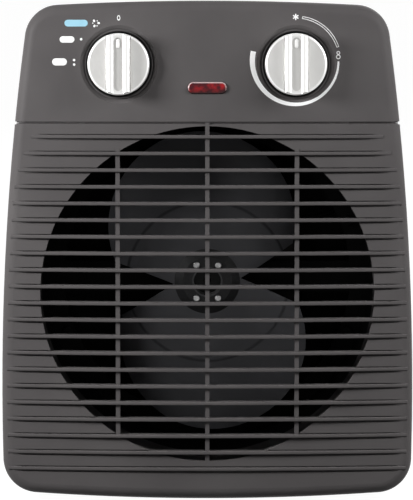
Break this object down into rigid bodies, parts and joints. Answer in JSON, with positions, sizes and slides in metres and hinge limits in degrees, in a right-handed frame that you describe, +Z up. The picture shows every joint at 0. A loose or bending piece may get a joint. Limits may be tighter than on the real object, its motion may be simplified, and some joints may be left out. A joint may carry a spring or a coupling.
{
  "type": "fan heater",
  "caption": "Compact upright fan heater: bowed slats over a round opening with a paddle fan behind, two turn knobs and a red pilot lens on the upper panel, grip recess at the rear.",
  "frame": {"origin": "on the floor under the middle of the case", "axes": "+Z up, -Y out of the front, +X to the right seen from the front"},
  "size_m": [0.2044, 0.1249, 0.2482],
  "materials": {
    "case_plastic": "fine matt grain",
    "silver_plastic": "satin silver",
    "pointer_inlay": "matt",
    "lens_red": "clear red, gloss",
    "foot_rubber": "matt",
    "screw_steel": "plated",
    "bright_steel": "turned",
    "pressed_steel": "zinc plated",
    "lamination_steel": "stacked laminations",
    "fan_paint": "matt dark paint",
    "fan_hub_metal": "cast, dulled",
    "duct_plastic": "matt, heat resistant",
    "fin_aluminium": "bright sheet",
    "element_ceramic": "unglazed",
    "tab_brass": "bright",
    "control_plastic": "ivory, matt",
    "coil_copper": "enamelled copper wire under tape",
    "lamp_glass": "clear",
    "gland_plastic": "matt",
    "wire_insulation": "silicone sleeve"
  },
  "bodies": {
    "housing": {"bimetal_strip": "tab_brass", "case_screws": "screw_steel", "clamp_screws": "screw_steel", "coil_bobbin": "control_plastic", "control_panel": "case_plastic", "control_screws": "screw_steel", "control_wires": "wire_insulation", "cord_clamp": "gland_plastic", "cord_gland": "gland_plastic", "element_frame": "duct_plastic", "element_screws": "screw_steel", "element_tabs": "tab_brass", "element_wires": "wire_insulation", "fan_shroud": "duct_plastic", "foot_front_left": "foot_rubber", "foot_front_right": "foot_rubber", "foot_rear_left": "foot_rubber", "foot_rear_right": "foot_rubber", "front_bridge": "pressed_steel", "front_grille": "case_plastic", "lamp_holder": "control_plastic", "lamp_wires": "wire_insulation", "lower_ceramic_stones": "element_ceramic", "lower_fin_rows": "fin_aluminium", "motor_bracket": "pressed_steel", "motor_coil": "coil_copper", "motor_screws": "screw_steel", "motor_wires": "wire_insulation", "neon_lamp": "lamp_glass", "pilot_lens": "lens_red", "rear_bridge": "pressed_steel", "rear_shell": "case_plastic", "seam_screws": "screw_steel", "shaft_bushes": "tab_brass", "shroud_screws": "screw_steel", "stator_stack": "lamination_steel", "supply_wires": "wire_insulation", "switch_cover": "control_plastic", "switch_housing": "control_plastic", "switch_tabs": "tab_brass", "terminal_block": "control_plastic", "thermal_cutout": "bright_steel", "thermostat_cover": "control_plastic", "thermostat_frame": "pressed_steel", "thermostat_tabs": "tab_brass", "upper_ceramic_stones": "element_ceramic", "upper_fin_rows": "fin_aluminium"},
    "function_control": {"function_knob": "silver_plastic", "function_pointer": "pointer_inlay", "function_spindle": "bright_steel", "switch_cam": "control_plastic"},
    "thermostat_control": {"thermostat_knob": "silver_plastic", "thermostat_pointer": "pointer_inlay", "thermostat_spindle": "bright_steel"},
    "fan": {"fan_blades": "fan_paint", "fan_hub": "fan_hub_metal", "fan_rivets": "bright_steel", "motor_shaft": "bright_steel", "rotor": "lamination_steel"}
  },
  "joints": [
    {"name": "function_turn", "type": "hinge", "parent": "housing", "child": "function_control", "pos_m": [-0.0435, -0.04694, 0.21737], "axis": [0, -0.9976, 0.0698], "range_deg": [0, 90]},
    {"name": "thermostat_turn", "type": "hinge", "parent": "housing", "child": "thermostat_control", "pos_m": [0.0435, -0.04694, 0.21737], "axis": [0, -0.9976, 0.0698], "range_deg": [-285, 0]},
    {"name": "fan_spin", "type": "hinge", "parent": "housing", "child": "fan", "pos_m": [0, -0.01, 0.1044], "axis": [0, 1, 0], "continuous": true}
  ]
}
